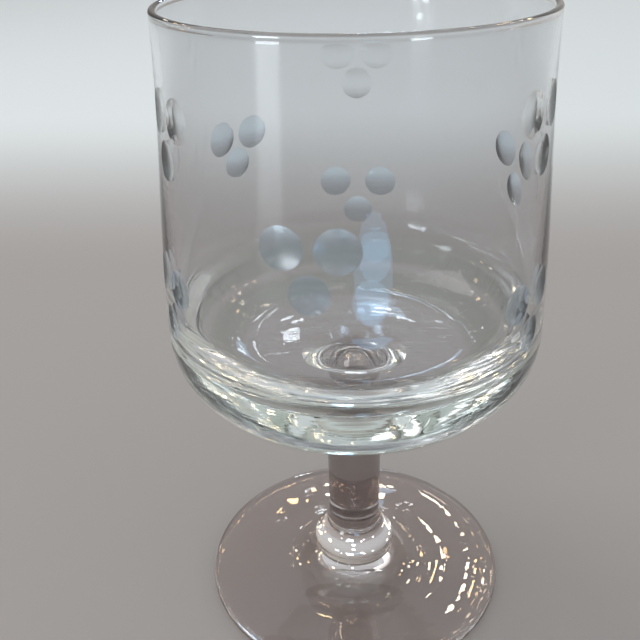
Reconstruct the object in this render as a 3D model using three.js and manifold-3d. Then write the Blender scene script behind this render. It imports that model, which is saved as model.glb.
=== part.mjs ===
// A cut glass goblet: a tumbler-shaped bowl with a thick base, a plain drawn stem, a cushion-shaped
// collar and a round foot, which were made one by one and fused hot, face to face.
// Millimetres, +Z up. The origin is on the table, under the middle of the foot.

import * as THREE from 'three';
import { mergeVertices } from 'three/addons/utils/BufferGeometryUtils.js';
import Module from 'manifold-3d';

// Foot: a disc that is thin at its edge and rises to a boss, hollowed a little underneath
const footRadius = 32.8;
const footEdge = 2.2;
const footRise = 6.2;
const bossRadius = 8.4;
const restingRing = 5;
const hollowDepth = 1.1;

// Collar: the cushion of glass between the foot and the stem, widest a little above its base
const collarHeight = 5.8;
const collarRadius = 8.9;
const collarWidestHeight = 2.5;

// Stem: slightly thinner low down, with a flare at each end
const stemLength = 39.6;
const stemTopRadius = 5.9;
const stemWaistRadius = 5.6;
const lowerFlareRadius = 7.2;
const lowerFlareHeight = 5.6;
const upperFlareRadius = 10.8;
const upperFlareHeight = 8;

// Bowl, outside: a nearly flat underside, a round corner and a long wall
const underRise = 14.7;
const cornerRadius = 15.3;
const wallHeight = 58.7;
const bodyRadius = 36.4;
const rimRadius = 33.8;

// Bowl, inside: a flat floor, a smaller corner and a wall that thins towards the rim
const baseThickness = 8.6;
const innerCornerRadius = 15;
const bodyWall = 2.2;
const rimWall = 1.2;

// Cut dots: clusters of three, a pair above a smaller one
const dotDiameter = 7.2;
const lowerDotDiameter = 6.7;
const dotDepth = 0.5;
// Three rows of three clusters, a little uneven because they are cut by eye. For each: degrees round the
// bowl from the front (-Y) to the right, how far the pair is below the rim, how far apart its dots are,
// and how far the third dot is below them.
const clusters = [
  [-61.5, 15, 9, 7.2],
  [60, 14.2, 9, 7.2],
  [179, 14.6, 8.7, 6.7],
  [-11, 30.4, 8.8, 7.2],
  [109, 30.4, 9, 7.2],
  [-133.3, 29.6, 8.6, 6.1],
  [-63.5, 44, 9, 8.1],
  [56, 45, 9, 7.2],
  [178.5, 43.8, 10.3, 7.2],
];

// Slopes of the surfaces in degrees: at the foot's edge, where the foot meets the collar, at the
// collar's top and bottom, at the stem's two ends, and where the bowl's underside turns into its corner
const footEdgeSlope = 3;
const bossSlope = 50;
const collarBaseSlope = 40;
const collarTopSlope = 48;
const lowerFlareSlope = 50;
const upperFlareSlope = 25;
const cornerSlope = 28;

// How finely round stretches are faceted
const roundSegments = 48;
const dotSegments = 14;
const dotRings = 3;

// How far the cutting wheel reaches past the edge of the dot that it leaves, as a share of the dot
const wheelOverrun = 1.2;

// Heights of the joints, the corners and the rim above the table
const collarBase = footRise;
const stemBase = collarBase + collarHeight;
const stemTop = stemBase + stemLength;
const wallBottom = stemTop + underRise;
const rimHeight = wallBottom + wallHeight;
const floorHeight = stemTop + baseThickness;

const wasm = await Module();
wasm.setup();

const point = (r, z) => new THREE.Vector2(r, z);
const line = (from, to) => new THREE.LineCurve(from, to);

// A round stretch about (r, z), from one angle to another in degrees, 0 pointing outwards
function arc(r, z, radius, from, to) {
  const turn = THREE.MathUtils.degToRad;
  return new THREE.EllipseCurve(r, z, radius, radius, turn(from), turn(to), from > to);
}

// A smooth stretch that leaves one point and arrives at another in given directions, in degrees,
// with 0 pointing outwards and 90 up. A longer pull keeps each direction for longer.
function sweep(from, leaving, to, arriving, pull = 0.38) {
  const reach = pull * from.distanceTo(to);
  const along = (degrees) => {
    const angle = THREE.MathUtils.degToRad(degrees);
    return point(reach * Math.cos(angle), reach * Math.sin(angle));
  };
  const first = from.clone().add(along(leaving));
  const last = to.clone().sub(along(arriving));
  return new THREE.CubicBezierCurve(from, first, last, to);
}

// A stretch of wall between two heights that is upright at both ends, so its height runs evenly
function wallCurve(lowRadius, low, highRadius, high) {
  const third = (high - low) / 3;
  return new THREE.CubicBezierCurve(
    point(lowRadius, low),
    point(lowRadius, low + third),
    point(highRadius, high - third),
    point(highRadius, high),
  );
}

// Turns a profile, given as [curve, steps] pairs from axis to axis, into a closed solid round Z
function turned(stretches) {
  const profile = stretches.flatMap(([curve, steps]) => curve.getPoints(steps));
  const distinct = profile.filter((p, i) => i === 0 || p.distanceTo(profile[i - 1]) > 1e-4);
  distinct[0].x = 0;
  distinct[distinct.length - 1].x = 0;
  const lathe = new THREE.LatheGeometry(distinct, roundSegments);
  lathe.rotateX(Math.PI / 2);
  return welded(lathe);
}

// Merges the doubled vertices of a seam and of the poles, and drops the flat triangles left there
function welded(geometry) {
  geometry.deleteAttribute('normal');
  geometry.deleteAttribute('uv');
  const merged = mergeVertices(geometry, 1e-4);
  const old = merged.index.array;
  const kept = [];
  for (let i = 0; i < old.length; i += 3) {
    const [a, b, c] = [old[i], old[i + 1], old[i + 2]];
    if (a !== b && b !== c && c !== a) kept.push(a, b, c);
  }
  merged.setIndex(kept);
  return merged;
}

function toSolid(geometry) {
  return new wasm.Manifold(new wasm.Mesh({
    numProp: 3,
    vertProperties: new Float32Array(geometry.attributes.position.array),
    triVerts: new Uint32Array(geometry.index.array),
  }));
}

function toGeometry(solid) {
  const mesh = solid.getMesh();
  const geometry = new THREE.BufferGeometry();
  geometry.setAttribute('position', new THREE.BufferAttribute(new Float32Array(mesh.vertProperties), 3));
  geometry.setIndex(new THREE.BufferAttribute(new Uint32Array(mesh.triVerts), 1));
  return geometry;
}

function footGeometry() {
  const edge = footEdge / 2;
  const ringOutside = footRadius - edge;
  const ringInside = ringOutside - restingRing;
  const boss = point(bossRadius, footRise);
  return turned([
    [sweep(point(0, hollowDepth), 0, point(ringInside, 0), 0), 5],
    [line(point(ringInside, 0), point(ringOutside, 0)), 1],
    [arc(ringOutside, edge, edge, -90, 90), 6],
    [sweep(point(ringOutside, footEdge), 180 - footEdgeSlope, boss, 180 - bossSlope), 9],
    [line(boss, point(0, footRise)), 1],
  ]);
}

function collarGeometry() {
  const widest = point(collarRadius, collarBase + collarWidestHeight);
  return turned([
    [line(point(0, collarBase), point(bossRadius, collarBase)), 1],
    [sweep(point(bossRadius, collarBase), collarBaseSlope, widest, 90), 3],
    [sweep(widest, 90, point(lowerFlareRadius, stemBase), 180 - collarTopSlope), 5],
    [line(point(lowerFlareRadius, stemBase), point(0, stemBase)), 1],
  ]);
}

function stemGeometry() {
  const waist = point(stemWaistRadius, stemBase + lowerFlareHeight);
  const shoulder = point(stemTopRadius, stemTop - upperFlareHeight);
  return turned([
    [line(point(0, stemBase), point(lowerFlareRadius, stemBase)), 1],
    [sweep(point(lowerFlareRadius, stemBase), 180 - lowerFlareSlope, waist, 90), 5],
    [wallCurve(waist.x, waist.y, shoulder.x, shoulder.y), 3],
    [sweep(shoulder, 90, point(upperFlareRadius, stemTop), upperFlareSlope, 0.5), 7],
    [line(point(upperFlareRadius, stemTop), point(0, stemTop)), 1],
  ]);
}

const outerWall = wallCurve(bodyRadius, wallBottom, rimRadius, rimHeight - rimWall / 2);

function bowlBlank() {
  const cornerStart = cornerSlope - 90;
  const corner = arc(bodyRadius - cornerRadius, wallBottom, cornerRadius, cornerStart, 0);
  const insideRadius = bodyRadius - bodyWall;
  const innerCentre = insideRadius - innerCornerRadius;
  const innerWallBottom = floorHeight + innerCornerRadius;
  const innerWall = wallCurve(rimRadius - rimWall, rimHeight - rimWall / 2, insideRadius, innerWallBottom);
  return turned([
    [line(point(0, stemTop), point(upperFlareRadius, stemTop)), 1],
    [sweep(point(upperFlareRadius, stemTop), 0, corner.getPoint(0), cornerSlope, 0.25), 7],
    [corner, 7],
    [outerWall, 6],
    [arc(rimRadius - rimWall / 2, rimHeight - rimWall / 2, rimWall / 2, 0, 180), 6],
    [innerWall, 5],
    [arc(innerCentre, innerWallBottom, innerCornerRadius, 0, -90), 8],
    [line(point(innerCentre, floorHeight), point(0, floorHeight)), 1],
  ]);
}

// The end of a cutting wheel that leaves one shallow dot. A ball leaves a dot that is narrower across
// than up and down on a round wall, so the wheel is wider across by as much.
function dotCutter(diameter, wallRadius) {
  const half = diameter / 2;
  const ball = (half * half + dotDepth * dotDepth) / (2 * dotDepth);
  const reach = wheelOverrun * half;
  const rise = (r) => ball - Math.sqrt(ball * ball - r * r);
  const profile = [];
  for (let i = 0; i <= dotRings; i++) {
    profile.push(point((reach * i) / dotRings, rise((reach * i) / dotRings)));
  }
  const back = rise(reach) + dotDepth;
  profile.push(point(reach, back), point(0, back));
  const cutter = welded(new THREE.LatheGeometry(profile, dotSegments));
  cutter.translate(0, -dotDepth, 0);
  cutter.scale(1 / Math.sqrt(1 - ball / wallRadius), 1, 1);
  return cutter;
}

// Cuts one dot into the bowl, square to the wall at a height and an angle round it in degrees
function cutDot(bowl, diameter, height, azimuth) {
  const along = (height - wallBottom) / (rimHeight - rimWall / 2 - wallBottom);
  const wallRadius = outerWall.getPoint(along).x;
  const lean = outerWall.getTangent(along);
  const cutter = dotCutter(diameter, wallRadius);
  cutter.rotateX(Math.PI - Math.atan2(-lean.x, lean.y));
  cutter.translate(0, -wallRadius, height);
  cutter.rotateZ(THREE.MathUtils.degToRad(azimuth));
  return bowl.subtract(toSolid(cutter));
}

function bowlGeometry() {
  let bowl = toSolid(bowlBlank());
  for (const [azimuth, belowRim, spacing, drop] of clusters) {
    const height = rimHeight - belowRim;
    const halfTurn = THREE.MathUtils.radToDeg(spacing / (rimRadius + bodyRadius));
    bowl = cutDot(bowl, dotDiameter, height, azimuth - halfTurn);
    bowl = cutDot(bowl, dotDiameter, height, azimuth + halfTurn);
    bowl = cutDot(bowl, lowerDotDiameter, height - drop, azimuth);
  }
  return toGeometry(bowl);
}

// One named piece of clear glass
function glassPiece(name, geometry, colour) {
  const material = new THREE.MeshStandardMaterial({
    color: colour,
    roughness: 0.04,
    metalness: 0,
    transparent: true,
    opacity: 0.4,
  });
  const mesh = new THREE.Mesh(geometry, material);
  mesh.name = name;
  return mesh;
}

const goblet = new THREE.Group();
goblet.add(
  glassPiece('foot', footGeometry(), 0xc9cfcd),
  glassPiece('collar', collarGeometry(), 0xd5dcd8),
  glassPiece('stem', stemGeometry(), 0xc4cac8),
  glassPiece('bowl', bowlGeometry(), 0xd8dfdd),
);

export default goblet;
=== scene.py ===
# %% [markdown]
# # A cut glass goblet
#
# A small goblet of clear glass: a straight-sided bowl with a thick base and clusters of shallow cut dots,
# a plain stem, a cushion-shaped collar and a round foot. In this lesson each piece is turned, cut and
# finished in Blender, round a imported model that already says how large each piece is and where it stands.
#
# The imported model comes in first. It is the fixed frame for everything else: its boxes give the sizes, and
# nothing in it is moved.

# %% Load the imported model
import math
import random

import bmesh
import bpy
from mathutils import Matrix, Vector
from mathutils.geometry import interpolate_bezier


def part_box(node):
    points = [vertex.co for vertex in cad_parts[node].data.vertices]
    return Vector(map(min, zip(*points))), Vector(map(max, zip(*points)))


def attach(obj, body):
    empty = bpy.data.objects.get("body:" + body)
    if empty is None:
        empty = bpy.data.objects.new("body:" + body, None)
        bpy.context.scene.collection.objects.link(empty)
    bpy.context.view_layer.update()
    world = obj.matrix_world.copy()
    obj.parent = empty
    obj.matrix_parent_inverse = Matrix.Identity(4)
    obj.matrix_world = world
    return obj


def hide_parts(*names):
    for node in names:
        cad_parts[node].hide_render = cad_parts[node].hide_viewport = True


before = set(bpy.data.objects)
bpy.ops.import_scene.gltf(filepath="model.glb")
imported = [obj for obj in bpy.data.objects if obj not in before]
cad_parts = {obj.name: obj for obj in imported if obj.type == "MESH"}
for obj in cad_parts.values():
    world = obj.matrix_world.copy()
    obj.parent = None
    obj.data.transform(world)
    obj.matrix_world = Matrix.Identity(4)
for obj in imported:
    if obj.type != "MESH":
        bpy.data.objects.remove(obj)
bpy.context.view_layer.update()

print("pieces of the packed model:", sorted(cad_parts))

# %% [markdown]
# ## Sizes
#
# A turned piece is known by a few radii and heights. The ones on the outside are read off the frame, so
# that the pieces here fit it by themselves. The rest are the sizes that a box can't show, such as the
# thickness of the wall. Lengths are in metres, so MM turns the millimetres of a workshop drawing into them.

# %% Read the outer sizes off the frame
MM = 0.001

foot_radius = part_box("foot")[1].x
foot_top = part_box("foot")[1].z
collar_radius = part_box("collar")[1].x
collar_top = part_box("collar")[1].z
stem_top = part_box("stem")[1].z
stem_end_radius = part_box("stem")[1].x
body_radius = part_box("bowl")[1].x
rim_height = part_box("bowl")[1].z

print(f"foot {2 * foot_radius / MM:.1f} mm across, bowl {2 * body_radius / MM:.1f} mm across")
print(f"joints at {foot_top / MM:.1f}, {collar_top / MM:.1f} and {stem_top / MM:.1f} mm")
print(f"rim at {rim_height / MM:.1f} mm")

# %% [markdown]
# ## Drawing half a section
#
# A glassmaker's drawing of a goblet is half of its section, because the rest follows from turning. The pen
# below draws such a half: it stands at a radius and a height, and moves in straight lines and in curves.
# A curve is a Bezier that leaves and arrives at given angles, with 0 pointing outwards and 90 up. Its pull
# says how far it keeps to those angles. With the usual pull, a curve through a quarter turn comes out as a
# true quarter of a circle. A smaller turn needs a little less, and a third suits one that is nearly
# straight, so one kind of curve is enough for round corners, flares and long walls.

# %% A pen for half sections
ROUND = 0.3905
NEARLY_STRAIGHT = 1 / 3


def towards(angle, reach):
    """A step of that reach in the plane of the section, at an angle in degrees from straight outwards."""
    turn = math.radians(angle)
    return Vector((reach * math.cos(turn), 0, reach * math.sin(turn)))


class Pen:
    """Draws half of a section, from the axis to the axis, and remembers its points."""

    def __init__(self, height):
        self.points = [Vector((0, 0, height))]

    def line(self, radius, height):
        self.points.append(Vector((radius, 0, height)))
        return self

    def curve(self, leaving, radius, height, arriving, steps, pull=ROUND):
        start, end = self.points[-1], Vector((radius, 0, height))
        reach = pull * (end - start).length
        first, last = start + towards(leaving, reach), end - towards(arriving, reach)
        self.points += interpolate_bezier(start, first, last, end, steps + 1)[1:]
        return self


# %% [markdown]
# ## Turning
#
# Blown and drawn glass is round because it is turned all the time while it is hot. The spin operator does
# the same: it sweeps the half section once round the axis. Many steps are needed here, far more than for
# wood or metal, because light bends at every facet of clear glass. After the spin, the seam and the two
# points on the axis are merged and the normals are worked out again, so that each piece is one closed body.
#
# Where two pieces were fused, both have a flat face at the same height. Real fused glass has nothing there
# that light would notice, so these faces get a material of their own, and the edge round them is kept
# sharp. That stops the smooth shading of the side from being bent by the flat face.

# %% Turn a half section into a closed piece
TURN_STEPS = 240
WELD = 0.001 * MM
# The numbers of a piece's materials; the glass itself is number 0
JOINT, CUT = 1, 2


def turned(name, pen, joint_heights=(), steps=TURN_STEPS):
    mesh = bmesh.new()
    corners = [mesh.verts.new(point) for point in pen.points]
    for one, other in zip(corners, corners[1:]):
        mesh.edges.new((one, other))
    drawn = corners + mesh.edges[:]
    once_round = {"axis": (0, 0, 1), "cent": (0, 0, 0), "angle": math.tau, "steps": steps}
    bmesh.ops.spin(mesh, geom=drawn, use_merge=True, **once_round)
    bmesh.ops.remove_doubles(mesh, verts=mesh.verts, dist=WELD)
    bmesh.ops.recalc_face_normals(mesh, faces=mesh.faces)
    for face in mesh.faces:
        face.smooth = True
        level = all(abs(v.co.z - face.verts[0].co.z) < WELD for v in face.verts)
        if level and any(abs(face.verts[0].co.z - height) < WELD for height in joint_heights):
            face.material_index = JOINT
    for edge in mesh.edges:
        edge.smooth = len({face.material_index for face in edge.link_faces}) == 1
    data = bpy.data.meshes.new(name)
    mesh.to_mesh(data)
    mesh.free()
    piece = bpy.data.objects.new(name, data)
    bpy.context.scene.collection.objects.link(piece)
    print(f"{name}: {len(data.polygons)} faces")
    return piece


# %% [markdown]
# ## The foot
#
# The foot is a gather of glass that was pressed into a disc while it turned. It is thin and rounded at its
# edge and rises towards the middle. Underneath, the middle is hollowed, so that only a ring near the edge
# touches the table and the goblet never rocks.

# %% Turn the foot
foot_edge = 2.2 * MM
resting_ring = 5 * MM
foot_hollow = 1.1 * MM
boss_radius = 8.4 * MM

half_edge = foot_edge / 2
ring_outside = foot_radius - half_edge
foot_pen = (
    Pen(foot_hollow)
    .curve(0, ring_outside - resting_ring, 0, 0, 24)
    .line(ring_outside, 0)
    .curve(0, foot_radius, half_edge, 90, 10)
    .curve(90, ring_outside, foot_edge, 180, 10)
    .curve(177, boss_radius, foot_top, 130, 36)
    .line(0, foot_top)
)
foot = turned("pressed_foot", foot_pen, [foot_top])

# %% [markdown]
# ## The collar
#
# Between foot and stem sits a cushion of glass. A hot drop pressed between two pieces swells like this: it
# is widest a little above its base, rounds over, and closes in on the stem.

# %% Turn the collar
collar_widest = 2.5 * MM
stem_foot_radius = 7.2 * MM

collar_pen = (
    Pen(foot_top)
    .line(boss_radius, foot_top)
    .curve(40, collar_radius, foot_top + collar_widest, 90, 12)
    .curve(90, stem_foot_radius, collar_top, 132, 20)
    .line(0, collar_top)
)
collar = turned("cushion_collar", collar_pen, [foot_top, collar_top])

# %% [markdown]
# ## The stem
#
# The stem was drawn out of a solid gather, as toffee is pulled. Drawing leaves it slightly thinner low down
# and wider where it leaves the bowl, with a flare at each end where the hot glass ran into its neighbour.

# %% Turn the stem
FLARE_PULL = 0.5
stem_waist_radius = 5.6 * MM
stem_waist_above_joint = 5.6 * MM
stem_shoulder_radius = 5.9 * MM
stem_shoulder_below_joint = 8 * MM

stem_pen = (
    Pen(collar_top)
    .line(stem_foot_radius, collar_top)
    .curve(130, stem_waist_radius, collar_top + stem_waist_above_joint, 90, 18)
    .curve(90, stem_shoulder_radius, stem_top - stem_shoulder_below_joint, 90, 12)
    .curve(90, stem_end_radius, stem_top, 25, 28, pull=FLARE_PULL)
    .line(0, stem_top)
)
stem = turned("drawn_stem", stem_pen, [collar_top, stem_top])

# %% [markdown]
# ## The bowl
#
# The bowl was blown into a mould, which gave it a nearly flat underside, a thick base with a round corner
# and a wall that thins towards the rim. The rim was cracked off cold and melted smooth in a flame, and
# melting draws the edge up into a bead that is a little thicker than the wall below it. The bead makes the
# fine second line under the rim. Only the base is thick: seen from above, it works as a lens that shows
# the top of the stem.

# %% Sizes of the bowl
under_rise = 14.7 * MM
corner_radius = 15.3 * MM
rim_radius = 33.8 * MM
base_thickness = 8.6 * MM
inner_corner_radius = 15 * MM
body_wall = 2.2 * MM
rim_wall = 1.2 * MM
bead_height = 1.35 * MM
bead_swell = 0.05 * MM

wall_bottom = stem_top + under_rise
bowl_floor = stem_top + base_thickness
inside_radius = body_radius - body_wall
inner_wall_bottom = bowl_floor + inner_corner_radius
bead_bottom = rim_height - bead_height
bead_middle = rim_height - rim_wall / 2
rim_inside = rim_radius - rim_wall
print(f"wall {body_wall / MM:.1f} mm thick, {rim_wall / MM:.1f} mm at the rim")

# %% Turn the bowl
CORNER_SLOPE = 28
CORNER_PULL = 0.359
UNDERSIDE_PULL = 0.25

corner_centre = Vector((body_radius - corner_radius, 0, wall_bottom))
corner_start = corner_centre + towards(CORNER_SLOPE - 90, corner_radius)
bowl_pen = (
    Pen(stem_top)
    .line(stem_end_radius, stem_top)
    .curve(0, corner_start.x, corner_start.z, CORNER_SLOPE, 16, pull=UNDERSIDE_PULL)
    .curve(CORNER_SLOPE, body_radius, wall_bottom, 90, 28, pull=CORNER_PULL)
    .curve(90, rim_radius, bead_bottom, 90, 40, pull=NEARLY_STRAIGHT)
    .curve(90, rim_radius + bead_swell, bead_middle, 90, 6)
    .curve(90, rim_radius - rim_wall / 2, rim_height, 180, 8)
    .curve(180, rim_inside - bead_swell, bead_middle, 270, 8)
    .curve(270, rim_inside, bead_bottom, 270, 6)
    .curve(270, inside_radius, inner_wall_bottom, 270, 34, pull=NEARLY_STRAIGHT)
    .curve(270, inside_radius - inner_corner_radius, bowl_floor, 180, 26)
    .line(0, bowl_floor)
)
bowl = turned("blown_bowl", bowl_pen, [stem_top])

# %% [markdown]
# ## Cutting the dots
#
# Each dot is one touch of the glass against the edge of a grinding wheel. The touch leaves a shallow
# hollow in the outside of the wall. A wheel that was round like a ball would leave an oval on a round
# wall, taller than it is wide, so the wheel's tip is a little flatter across. A boolean cut with such a
# tip is the same touch, and it keeps the crisp edge that a sculpted dent wouldn't have.
#
# The dots come in nine clusters of three, a pair above a smaller one. A cutter works by eye, so the
# clusters aren't evenly spaced, and no dot is exactly like the next.

# %% Shape the tip of the wheel
dot_diameter = 7.2 * MM
lower_dot_diameter = 6.7 * MM
dot_depth = 0.5 * MM
wheel_overrun = 1.18
TIP_STEPS = 56


def wheel_tip(diameter, wall_radius):
    """A closed cap with its deepest point at the origin, which cuts towards -Z and is as wide as a dot."""
    half = diameter / 2
    ball = (half ** 2 + dot_depth ** 2) / (2 * dot_depth)
    reach = wheel_overrun * half
    edge_angle = math.degrees(math.asin(reach / ball))
    edge_rise = ball - math.sqrt(ball ** 2 - reach ** 2)
    tip_pen = (
        Pen(0)
        .curve(0, reach, edge_rise, edge_angle, 9, pull=NEARLY_STRAIGHT)
        .line(reach, edge_rise + dot_depth)
        .line(0, edge_rise + dot_depth)
    )
    tip = turned("wheel_tip", tip_pen, steps=TIP_STEPS)
    tip.data.transform(Matrix.Scale(1 / math.sqrt(1 - ball / wall_radius), 4, (1, 0, 0)))
    return tip


print(f"dots {dot_diameter / MM:.1f} mm wide and {dot_depth / MM:.1f} mm deep")

# %% Find the outer wall at a height
def outer_wall(height):
    """The radius of the outer wall at a height, and how far it leans inwards there, in radians."""
    for low, high in zip(bowl_pen.points, bowl_pen.points[1:]):
        if low.z <= height < high.z:
            share = (height - low.z) / (high.z - low.z)
            return low.lerp(high, share).x, math.atan2(low.x - high.x, high.z - low.z)
    raise ValueError("that height is above the rim")


# %% Where the clusters are
# For each cluster: degrees round the bowl from the front to the right, then in millimetres how far the pair
# is below the rim, how far apart its dots are, and how far the third dot is below them
CLUSTERS = (
    (-61.5, 15, 9, 7.2),
    (60, 14.2, 9, 7.2),
    (179, 14.6, 8.7, 6.7),
    (-11, 30.4, 8.8, 7.2),
    (109, 30.4, 9, 7.2),
    (-133.3, 29.6, 8.6, 6.1),
    (-63.5, 44, 9, 8.1),
    (56, 45, 9, 7.2),
    (178.5, 43.8, 10.3, 7.2),
)
print(len(CLUSTERS), "clusters")

# %% Place a tip for each dot
SEED = 3
UNEVENNESS = 0.02
uneven = random.Random(SEED)

tips = bmesh.new()
for azimuth, below_rim, spacing, drop in CLUSTERS:
    upper = rim_height - below_rim * MM
    half_pair = math.degrees(spacing * MM / (rim_radius + body_radius))
    cluster = (
        (dot_diameter, upper, azimuth - half_pair),
        (dot_diameter, upper, azimuth + half_pair),
        (lower_dot_diameter, upper - drop * MM, azimuth),
    )
    for diameter, height, place in cluster:
        wall_radius, lean = outer_wall(height)
        tip = wheel_tip(diameter * uneven.uniform(1 - UNEVENNESS, 1 + UNEVENNESS), wall_radius)
        upright = Matrix.Rotation(math.radians(90) - lean, 4, "X")
        against_wall = Matrix.Translation((0, dot_depth - wall_radius, height))
        round_bowl = Matrix.Rotation(math.radians(place), 4, "Z")
        tip.data.transform(round_bowl @ against_wall @ upright)
        tips.from_mesh(tip.data)
        bpy.data.objects.remove(tip)
for face in tips.faces:
    face.material_index = CUT
tips_mesh = bpy.data.meshes.new("wheel_tips")
tips.to_mesh(tips_mesh)
tips.free()
wheel_tips = bpy.data.objects.new("wheel_tips", tips_mesh)
bpy.context.scene.collection.objects.link(wheel_tips)

# %% Grind all the dots in one cut
grinding = bowl.modifiers.new("grinding", "BOOLEAN")
grinding.operation = "DIFFERENCE"
grinding.solver = "MANIFOLD"
grinding.material_mode = "INDEX"
grinding.object = wheel_tips
bpy.context.view_layer.update()

ground = bmesh.new()
ground.from_object(bowl, bpy.context.evaluated_depsgraph_get())
bowl.modifiers.clear()
bpy.data.objects.remove(wheel_tips)
for edge in ground.edges:
    edge.smooth = len({face.material_index for face in edge.link_faces}) == 1
cut_faces = [face for face in ground.faces if face.material_index == CUT]
print(f"bowl after cutting: {len(ground.faces)} faces, {len(cut_faces)} of them in the dots")
print("open edges:", sum(not edge.is_manifold for edge in ground.edges))
ground.to_mesh(bowl.data)
ground.free()

# %% [markdown]
# ## Clear glass
#
# Clear glass has almost no colour of its own. What the eye sees is its bending of the light, so the piece
# needs a true inside and a true outside, and a surface that is nearly perfect but not quite. A bowl that
# was turned in a mould keeps very fine rings round it. They show only where the light grazes them, above
# all low down in the thick base. The faint grey given to the whole bowl is painted shade, the darker room
# seen through the glass. The base looks greener, as thick glass does, and also darker, which is painted
# shade too; that tint lies on its outside, where the light comes in.
#
# A bump is right for these, because they are far too shallow to see in the outline. The pattern reads the
# distance from the axis and the height, so that it runs round the piece as the real rings do.

# %% Make a material and wire its nodes
GLASS_IOR = 1.52


def new_material(name):
    material = bpy.data.materials.new(name)
    material.use_nodes = True
    return material, material.node_tree.nodes["Principled BSDF"]


def new_glass(name):
    """A material of clear glass with a polished surface."""
    material, surface = new_material(name)
    surface.inputs["Transmission Weight"].default_value = 1
    surface.inputs["IOR"].default_value = GLASS_IOR
    surface.inputs["Roughness"].default_value = 0
    return material, surface


def feed(material, socket, value):
    """Sets a socket to a plain value, or links the output that is given to it."""
    if isinstance(value, bpy.types.NodeSocket):
        material.node_tree.links.new(value, socket)
    else:
        socket.default_value = value


def add(material, kind, values=(), **settings):
    """A new node of a kind, with its settings and the values or links of its sockets by name or number."""
    node = material.node_tree.nodes.new("ShaderNode" + kind)
    for setting, value in settings.items():
        setattr(node, setting, value)
    for socket, value in dict(values).items():
        feed(material, node.inputs[socket], value)
    return node


# %% Values that go by the place on a piece
def place_on(material):
    """The place on the piece: the point itself, its height and its distance from the axis."""
    point = add(material, "TexCoord").outputs["Object"]
    split = add(material, "SeparateXYZ", {0: point}).outputs
    flat = add(material, "VectorMath", {0: point, 1: (1, 1, 0)}, operation="MULTIPLY").outputs[0]
    radius = add(material, "VectorMath", {0: flat}, operation="LENGTH").outputs["Value"]
    return point, split["Z"], radius


def fade(material, value, start, end, low, high):
    """A smooth change from one number to another while a value goes from start to end."""
    values = {"Value": value, "From Min": start, "From Max": end, "To Min": low, "To Max": high}
    return add(material, "MapRange", values, interpolation_type="SMOOTHSTEP").outputs["Result"]


def rise(material, value, start, end):
    return fade(material, value, start, end, 0.0, 1.0)


def fall(material, value, start, end):
    return fade(material, value, start, end, 1.0, 0.0)


def times(material, one, other):
    return add(material, "Math", {0: one, 1: other}, operation="MULTIPLY").outputs[0]


# %% Colours, noise and relief
def blend(material, share, first, second):
    """A colour between two others: the first at a share of 0, the second at a share of 1."""
    values = {"Factor": share, 6: first, 7: second}
    return add(material, "Mix", values, data_type="RGBA").outputs[2]


def noise(material, point, scale, detail):
    values = {"Vector": point, "Scale": scale, "Detail": detail}
    return add(material, "TexNoise", values).outputs["Fac"]


def bump(material, relief, depth, strength=1.0, under=None, invert=False):
    """The normal of a surface with a relief, which can lie on top of the normal of another relief."""
    values = {"Height": relief, "Distance": depth, "Strength": strength}
    if under is not None:
        values["Normal"] = under
    return add(material, "Bump", values, invert=invert).outputs["Normal"]


# %% Fine rings from turning
ring_spacing = 1.3 * MM
ring_depth = 0.055 * MM
wander_scale = 28
wander_reach = 4 * MM


def turning_rings(material, point, height, radius, strength):
    """A bump of fine rings round the axis, which wander a little, as hot glass does."""
    wander = times(material, noise(material, point, wander_scale, detail=1.0), wander_reach)
    shifted = add(material, "Math", {0: height, 1: wander}, operation="ADD").outputs[0]
    section = add(material, "CombineXYZ", {0: radius, 2: shifted}).outputs[0]
    rings = noise(material, section, 1 / ring_spacing, detail=2.0)
    return bump(material, rings, ring_depth, strength)


print(f"rings {ring_spacing / MM:.1f} mm apart and {ring_depth / MM:.3f} mm deep")

# %% Glass of the bowl
# Painted shade: the grey of the bowl stands for the darker room seen through it, and the base adds painted
# shade to the green of thick glass
bowl_painted_shade_tint = (0.86, 0.865, 0.875, 1)
base_green_and_painted_shade_tint = (0.56, 0.65, 0.58, 1)
ring_strength_of_wall = 0.08
ring_strength_added_in_base = 0.9
# Where each change starts and where it is complete, from the axis outwards or from the table upwards
rings_outwards = 20 * MM, 28 * MM
rings_upwards = 60 * MM, 74 * MM
side_outwards = 34.4 * MM, 35.4 * MM
side_upwards = 62 * MM, 74 * MM
underside_outwards = 23 * MM, 29 * MM
underside_upwards = 56 * MM, 59.5 * MM

bowl_glass, surface = new_glass("mould_blown_glass")
point, height, radius = place_on(bowl_glass)
away_from_middle = rise(bowl_glass, radius, *rings_outwards)
low_down = fall(bowl_glass, height, *rings_upwards)
values = {0: times(bowl_glass, away_from_middle, low_down), 1: ring_strength_added_in_base,
          2: ring_strength_of_wall}
strength = add(bowl_glass, "Math", values, operation="MULTIPLY_ADD").outputs[0]
normal = turning_rings(bowl_glass, point, height, radius, strength)

outside = rise(bowl_glass, radius, *side_outwards)
side_share = times(bowl_glass, outside, fall(bowl_glass, height, *side_upwards))
corner = rise(bowl_glass, radius, *underside_outwards)
underside_share = times(bowl_glass, corner, fall(bowl_glass, height, *underside_upwards))
base_share = add(bowl_glass, "Math", {0: underside_share, 1: side_share}, operation="MAXIMUM").outputs[0]
feed(bowl_glass, surface.inputs["Base Color"], blend(bowl_glass, base_share, bowl_painted_shade_tint, base_green_and_painted_shade_tint))
print(f"{bowl_glass.name}: {len(bowl_glass.node_tree.nodes)} nodes")

# %% [markdown]
# A glass that has been used and washed for years also has hairlines on the floor of the bowl, where spoons
# and cloths have rubbed. Each is a very narrow streak of noise, stretched a lot in one direction. Two sets
# at different angles cross each other, and both stay on the inside floor.

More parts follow.
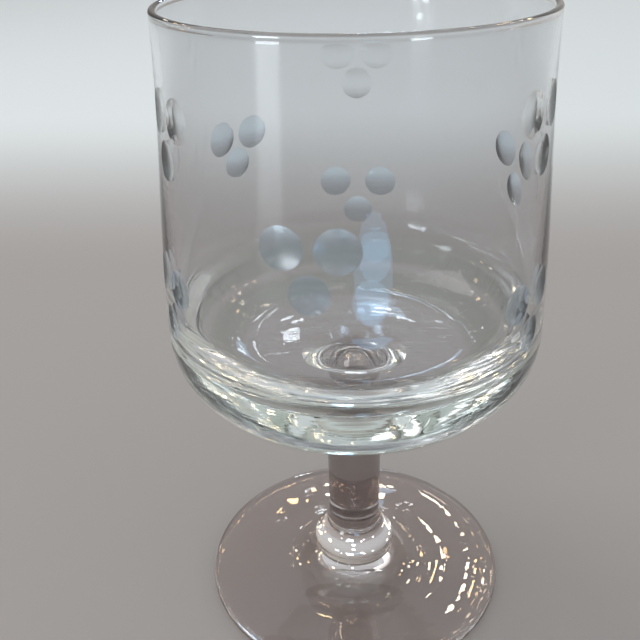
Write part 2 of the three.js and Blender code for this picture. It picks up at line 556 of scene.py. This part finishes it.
# %% Hairlines on the floor of the bowl
hairline_angles = (38, 124)
hairline_length = 9 * MM
hairline_width = 0.35 * MM
hairline_depth = 0.025 * MM
hairline_shift = 3.7
hairline_contrast = 0.70, 0.78
above_floor_between = bowl_floor - 0.3 * MM, bowl_floor - 0.1 * MM
below_wall_between = bowl_floor + 2 * MM, bowl_floor + 7 * MM


def hairlines(material, point, angle, shift):
    values = {"Vector": point, "Rotation": (0, 0, math.radians(angle)), "Location": (shift, 0, 0),
              "Scale": (1 / hairline_length, 1 / hairline_width, 0)}
    streaks = add(material, "Mapping", values).outputs[0]
    return rise(material, noise(material, streaks, scale=1.0, detail=0.0), *hairline_contrast)


above_floor = rise(bowl_glass, height, *above_floor_between)
below_wall = fall(bowl_glass, height, *below_wall_between)
inside_floor = times(bowl_glass, above_floor, below_wall)
for number, angle in enumerate(hairline_angles):
    streaks = hairlines(bowl_glass, point, angle, hairline_shift * number)
    scratches = times(bowl_glass, streaks, inside_floor)
    normal = bump(bowl_glass, scratches, hairline_depth, under=normal, invert=True)
feed(bowl_glass, surface.inputs["Normal"], normal)
print(f"{len(hairline_angles)} sets of hairlines, {hairline_width / MM:.2f} mm wide")

# %% [markdown]
# ## Glass of the stem, the collar and the foot
#
# These three are solid. Their tints are painted shade: the brownish grey of the stem stands for the dark
# surroundings that light brings back along it, and its clearing where it flares out under the bowl is
# painted light. The collar is tinted a shade lighter, also painted shade, and the foot is nearly clear, with
# a faint warm painted shade. All three were turned, so they have the same fine rings as the bowl, only
# weaker.

# %% Stem glass and collar glass
# Painted shade and painted light: the stem's brownish grey and the collar's tint stand for dark surroundings
# seen through them, and the clearer top of the stem is painted light.
stem_painted_shade_tint = (0.42, 0.37, 0.36, 1)
stem_end_painted_light_tint = (0.88, 0.86, 0.86, 1)
collar_painted_shade_tint = (0.62, 0.59, 0.57, 1)
stem_painted_light_between = 38 * MM, 46 * MM


def solid_glass(name, tint, ring_strength):
    material, surface = new_glass(name)
    point, height, radius = place_on(material)
    surface.inputs["Base Color"].default_value = tint
    normal = turning_rings(material, point, height, radius, ring_strength)
    feed(material, surface.inputs["Normal"], normal)
    return material, surface, point, height, radius


stem_glass, surface, point, height, radius = solid_glass("drawn_glass", stem_painted_shade_tint, ring_strength=0.15)
stem_painted_light_share = rise(stem_glass, height, *stem_painted_light_between)
feed(stem_glass, surface.inputs["Base Color"], blend(stem_glass, stem_painted_light_share, stem_painted_shade_tint, stem_end_painted_light_tint))
collar_glass = solid_glass("pressed_collar_glass", collar_painted_shade_tint, ring_strength=0.15)[0]
print("solid glass:", stem_glass.name, "and", collar_glass.name)

# %% [markdown]
# The plate that pressed the foot left it faintly wavy. The waves are too low to see in the outline, but
# they break the glint of each lamp into a chain of small ones. Underneath, the ring that the goblet stands
# on is scuffed from use: matt where it has been rubbed, and clear everywhere else.

# %% Foot glass with faint waves
# Painted shade: the faint warm grey of the foot stands for the darker paper seen through it.
foot_painted_shade_tint = (0.93, 0.88, 0.87, 1)
wave_length = 5 * MM
wave_depth = 0.05 * MM

foot_glass, surface, point, height, radius = solid_glass("pressed_foot_glass", foot_painted_shade_tint, ring_strength=0.12)
turned_normal = surface.inputs["Normal"].links[0].from_socket
waves = noise(foot_glass, point, 1 / wave_length, detail=1.0)
feed(foot_glass, surface.inputs["Normal"], bump(foot_glass, waves, wave_depth, under=turned_normal))
print(f"{foot_glass.name}: waves {wave_length / MM:.0f} mm long")

# %% Scuffed ring under the foot
scuff_scale = 900
scuff_roughness = 0.12
scuff_contrast = 0.5, 0.7
scuff_edge = 0.6 * MM
scuff_ends_between = 0.05 * MM, 0.2 * MM

ring_inside = ring_outside - resting_ring
rubbed = noise(foot_glass, point, scuff_scale, detail=4.0)
scuffed = fade(foot_glass, rubbed, *scuff_contrast, 0.0, scuff_roughness)
for edge, reach in ((ring_inside, scuff_edge), (ring_outside, -scuff_edge)):
    scuffed = times(foot_glass, scuffed, rise(foot_glass, radius, edge, edge + reach))
scuffed = times(foot_glass, scuffed, fall(foot_glass, height, *scuff_ends_between))
feed(foot_glass, surface.inputs["Roughness"], scuffed)
print("scuffed ring:", f"{ring_inside / MM:.1f} to {ring_outside / MM:.1f} mm from the axis")

# %% [markdown]
# ## Ground glass in the dots
#
# The wheel leaves a fine grain instead of a polish, so the dots are satin: light still comes through them,
# but softened, and a little of it is scattered back, which makes them look pale and misty. The grain runs
# in fine lines in the direction in which the wheel turned. The cool blue grey of the lower dots is a
# painted reflection of a cool light, and the near white of those just below the rim is painted light, the
# bright paper behind them.

# %% Satin of the dots
# Painted reflection and painted light: the blue grey tint stands for a cool light mirrored in the dots, and
# the near white below the rim for the bright paper seen through them.
satin_painted_reflection_tint = (0.56, 0.68, 0.78, 1)
satin_painted_light_tint = (0.93, 0.96, 0.97, 1)
satin_transmission = 0.92
satin_roughness = 0.2
grain_across = 0.12 * MM
grain_along = 1.6 * MM
grain_depth = 0.001 * MM
satin_painted_light_between = 96 * MM, 104 * MM

satin, surface = new_glass("wheel_ground_satin")
surface.inputs["Transmission Weight"].default_value = satin_transmission
surface.inputs["Roughness"].default_value = satin_roughness
point, height, radius = place_on(satin)
values = {"Vector": point, "Scale": (1 / grain_along, 1 / grain_along, 1 / grain_across)}
grain = noise(satin, add(satin, "Mapping", values).outputs[0], scale=1.0, detail=3.0)
feed(satin, surface.inputs["Normal"], bump(satin, grain, grain_depth))
below_rim = rise(satin, height, *satin_painted_light_between)
feed(satin, surface.inputs["Base Color"], blend(satin, below_rim, satin_painted_reflection_tint, satin_painted_light_tint))
print(f"{satin.name}: grain {grain_across / MM:.2f} mm across")

# %% [markdown]
# ## The fused faces
#
# Where two pieces were melted together there is no surface left at all. The flat faces that meet there let
# every ray through unchanged, so bowl, stem, collar and foot look like one body of glass.

# %% See-through material for the joints
fused_joint, surface = new_material("fused_joint")
see_through = add(fused_joint, "BsdfTransparent").outputs[0]
feed(fused_joint, fused_joint.node_tree.nodes["Material Output"].inputs["Surface"], see_through)
print(f"{fused_joint.name}: see-through")

# %% [markdown]
# ## Dressing the pieces
#
# Each piece takes the place of its solid in the imported model and rides on the one body that the goblet
# is. The order of its materials follows the numbers given above.

# %% Give each piece its glass and its place
PIECES = (
    (foot, "foot", "foot_glass", (foot_glass, fused_joint)),
    (collar, "collar", "stem_glass", (collar_glass, fused_joint)),
    (stem, "stem", "stem_glass", (stem_glass, fused_joint)),
    (bowl, "bowl", "bowl_glass", (bowl_glass, fused_joint, satin)),
)
for piece, node, slot, materials in PIECES:
    for material in materials:
        piece.data.materials.append(material)
    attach(piece, "root")
    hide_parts(node)
    print(f"{piece.name}: {', '.join(material.name for material in piece.data.materials)}")

# %% [markdown]
# ## The studio floor
#
# Clear glass shows mostly what lies behind it, so the floor is half of the picture. A wide roll of pale
# paper that turns from a warm grey near the goblet to a cooler and lighter tone further back gives the bowl
# the same change from its base to its rim. The darker warm grey near the goblet is painted shade, light
# falling off towards the front.

# %% Lay the paper
floor_gap = 0.1 * MM
floor_reach = 4.0
floor_steps = 96
# Painted shade: the paper is darker and warmer near the goblet, as if the light fell off towards the front.
painted_shade_near_paper = (0.41, 0.375, 0.355, 1)
far_paper = (0.85, 0.885, 0.88, 1)
painted_shade_fades_between = 0.16, 0.42
paper_roughness = 0.4
paper_gloss = 0.25

floor_pen = Pen(-floor_gap).line(floor_reach, -floor_gap)
floor = turned("studio_floor", floor_pen, steps=floor_steps)
paper, surface = new_material("pale_paper")
point = add(paper, "TexCoord").outputs["Object"]
back = add(paper, "SeparateXYZ", {0: point}).outputs["Y"]
share = rise(paper, back, *painted_shade_fades_between)
feed(paper, surface.inputs["Base Color"], blend(paper, share, painted_shade_near_paper, far_paper))
surface.inputs["Roughness"].default_value = paper_roughness
surface.inputs["Specular IOR Level"].default_value = paper_gloss
floor.data.materials.append(paper)
print(f"paper {floor_reach:.0f} m out on every side, {floor_gap / MM:.1f} mm under the foot")

# %% [markdown]
# ## Soft studio light
#
# The room itself is the largest lamp: even and soft, brighter overhead than along the walls. Glass is drawn
# by its dark edges, so the room is darker on the left than on the right.

# %% Light the room
left_wall_light = (0.19, 0.165, 0.155, 1)
right_wall_light = (0.72, 0.69, 0.64, 1)
ceiling_light = (0.80, 0.84, 0.88, 1)
left_to_right = -0.8, 0.8
level_to_overhead = 0.0, 1.0

world = bpy.data.worlds.new("studio")
bpy.context.scene.world = world
world.use_nodes = True
generated = add(world, "TexCoord").outputs["Generated"]
direction = add(world, "SeparateXYZ", {0: generated}).outputs
walls = blend(world, rise(world, direction["X"], *left_to_right), left_wall_light, right_wall_light)
room = blend(world, rise(world, direction["Z"], *level_to_overhead), walls, ceiling_light)
feed(world, world.node_tree.nodes["Background"].inputs["Color"], room)
print("room:", len(world.node_tree.nodes), "nodes")

# %% [markdown]
# A few softboxes add what an even room can't: glints and a soft sheen. Each hangs in a direction from the
# floor of the bowl, turned towards it. The small ones are there only for their reflections, so they light
# nothing but the glass, and the paper stays even.

# %% Hang a softbox
daylight = (0.85, 0.93, 1)

glassware = bpy.data.collections.new("glassware")
for piece, *_ in PIECES:
    glassware.objects.link(piece)


def seen_from_goblet(azimuth, elevation):
    """A direction by degrees round from straight behind the goblet (+Y) to the right, and degrees up."""
    round_it, up = math.radians(azimuth), math.radians(elevation)
    return Vector((math.sin(round_it) * math.cos(up), math.cos(round_it) * math.cos(up), math.sin(up)))


def softbox(name, azimuth, elevation, width, height, watts, colour, distance=1.0, only_glass=False):
    light = bpy.data.lights.new(name, "AREA")
    light.shape = "RECTANGLE"
    light.size, light.size_y = width, height
    light.energy = watts
    light.color = colour
    lamp = bpy.data.objects.new(name, light)
    out = seen_from_goblet(azimuth, elevation)
    lamp.location = Vector((0, 0, bowl_floor)) + out * distance
    lamp.rotation_mode = "QUATERNION"
    lamp.rotation_quaternion = out.to_track_quat("Z", "Y")
    lamp.visible_camera = False
    if only_glass:
        lamp.light_linking.receiver_collection = glassware
    bpy.context.scene.collection.objects.link(lamp)
    return lamp


# %% A cool light behind the goblet
# For each small panel: degrees round, degrees up, and its width and height in metres
cool_blue = (0.45, 0.72, 1)
panel_glow = 90
bright_panels = (
    (3.5, 21, 0.032, 0.030),
    (2.8, 24.3, 0.054, 0.020),
    (5.7, 26.7, 0.032, 0.014),
    (-6.2, 27.2, 0.022, 0.016),
    (-8, 23.8, 0.024, 0.024),
    (10.5, 22.9, 0.012, 0.030),
    (-16, 25, 0.030, 0.020),
    (0.2, 35.1, 0.036, 0.030),
    (-6.7, 29.4, 0.030, 0.012),
)
softbox("back_light", 3, 23, width=0.09, height=0.14, watts=0.17, colour=cool_blue)
for number, (azimuth, elevation, width, height) in enumerate(bright_panels):
    watts = panel_glow * width * height
    softbox(f"panel_{number}", azimuth, elevation, width, height, watts, daylight, only_glass=True)
print(f"a cool light and {len(bright_panels)} bright panels")

# %% [markdown]
# In front of the goblet, a fill on the left catches the hollows of the dots. Blue ovals close by leave the
# soft sheen low down on the bowl. They overlap, because one lamp alone would show a hard edge in the glass.

# %% A fill and a blue sheen from the front
# For each oval: degrees round, degrees up, its width and height in metres, and how strongly it glows
sheen_blue = (0.25, 0.6, 1)
sheen_distance = 0.2
sheen_ovals = (
    (170.5, -6.4, 0.066, 0.046, 1.5),
    (169.8, -4.2, 0.056, 0.020, 1.7),
    (169.6, -3.6, 0.044, 0.009, 1.2),
    (172, -9.6, 0.062, 0.020, 1.7),
    (172.2, -10.4, 0.048, 0.009, 1.6),
    (171, -15, 0.070, 0.006, 2.4),
)
softbox("front_fill", -134, 2, width=0.24, height=0.24, watts=2.2, colour=daylight)
for number, (azimuth, elevation, width, height, glow) in enumerate(sheen_ovals):
    oval = softbox(
        f"oval_{number}", azimuth, elevation, width, height, glow * math.pi * width * height,
        sheen_blue, distance=sheen_distance, only_glass=True,
    )
    oval.data.shape = "ELLIPSE"
    oval.visible_transmission = False
print(f"a fill and {len(sheen_ovals)} ovals, {sheen_distance:.1f} m away")

# %% A large soft light above
soft_white = (1, 0.99, 0.97)
overhead = softbox("overhead", -60, 52, width=0.5, height=0.5, watts=2.2, colour=soft_white)
overhead.visible_glossy = False

# %% [markdown]
# Small warm lamps leave the glints in the thick base and on the foot. Every second one is more golden.

# %% Light a few small warm lamps
warm_colours = ((1, 0.87, 0.68), (1, 0.70, 0.36))
base_lamp = {"width": 0.05, "height": 0.04, "watts": 0.16}
foot_lamp = {"width": 0.02, "height": 0.02, "watts": 0.04}
base_lamp_places = (
    (-80, 20), (-75, 12), (-65, 8), (-62, 30), (-47, 37), (-41, 33), (-34, 27),
    (24, 36), (31, 40), (38, 35), (46, 39), (55, 33), (59, 42), (61, 47), (35, 51),
)
foot_lamp_places = (
    (5.4, 41.2), (9.3, 42.6), (15.6, 42.8), (-2.5, 44.7), (0.2, 43.2), (43.6, 34.6), (2, 52),
)


def warm_lamps(name, places, lamp):
    for number, (azimuth, elevation) in enumerate(places):
        colour = warm_colours[number % len(warm_colours)]
        softbox(f"{name}_{number}", azimuth, elevation, colour=colour, only_glass=True, **lamp)


warm_lamps("base_lamp", base_lamp_places, base_lamp)
warm_lamps("foot_lamp", foot_lamp_places, foot_lamp)
print(f"{len(base_lamp_places)} lamps for the base and {len(foot_lamp_places)} for the foot")

# %% [markdown]
# ## The camera
#
# The photograph was taken from close by and from above, with the rim nearly filling the frame. The outlines
# of rim, bowl and foot fix the lens, the height and the tilt: the camera stands 146 mm in front of the axis
# and 144 mm up, looks down by 28 degrees, and is turned and rolled by a degree or two.

# %% Place the camera
camera_place = Vector((0, -146.476, 143.694)) * MM
look_down = 0.49507518
look_aside = -0.04652161
roll = -0.02295640
sensor_width = 36
lens_length = 46.73
nearest_view = 10 * MM

camera_data = bpy.data.cameras.new("camera")
camera_data.sensor_width = sensor_width
camera_data.lens = lens_length
camera_data.clip_start = nearest_view
camera = bpy.data.objects.new("camera", camera_data)
level = Vector((math.sin(look_aside), math.cos(look_aside), 0))
forward = level * math.cos(look_down) - Vector((0, 0, math.sin(look_down)))
right = Vector((level.y, -level.x, 0))
up = right.cross(forward)
across = math.cos(roll) * right + math.sin(roll) * up
upward = math.cos(roll) * up - math.sin(roll) * right
aim = Matrix((across, upward, -forward)).transposed().to_4x4()
camera.matrix_world = Matrix.Translation(camera_place) @ aim
bpy.context.scene.collection.objects.link(camera)
bpy.context.scene.camera = camera
print(f"camera {camera_place.z / MM:.0f} mm up, looking down by {math.degrees(look_down):.0f} degrees")

# %% [markdown]
# ## Light through glass
#
# A ray that looks through the goblet crosses many surfaces: two walls, a thick base, a stem, a foot. Each
# crossing uses up one bounce, so the number of bounces is raised until nothing in the glass stays black.

# %% Let light pass through all the walls
crossings = 24
reflections = 12

scene = bpy.context.scene
scene.view_settings.view_transform = "Standard"
scene.cycles.max_bounces = crossings
scene.cycles.transmission_bounces = crossings
scene.cycles.glossy_bounces = reflections
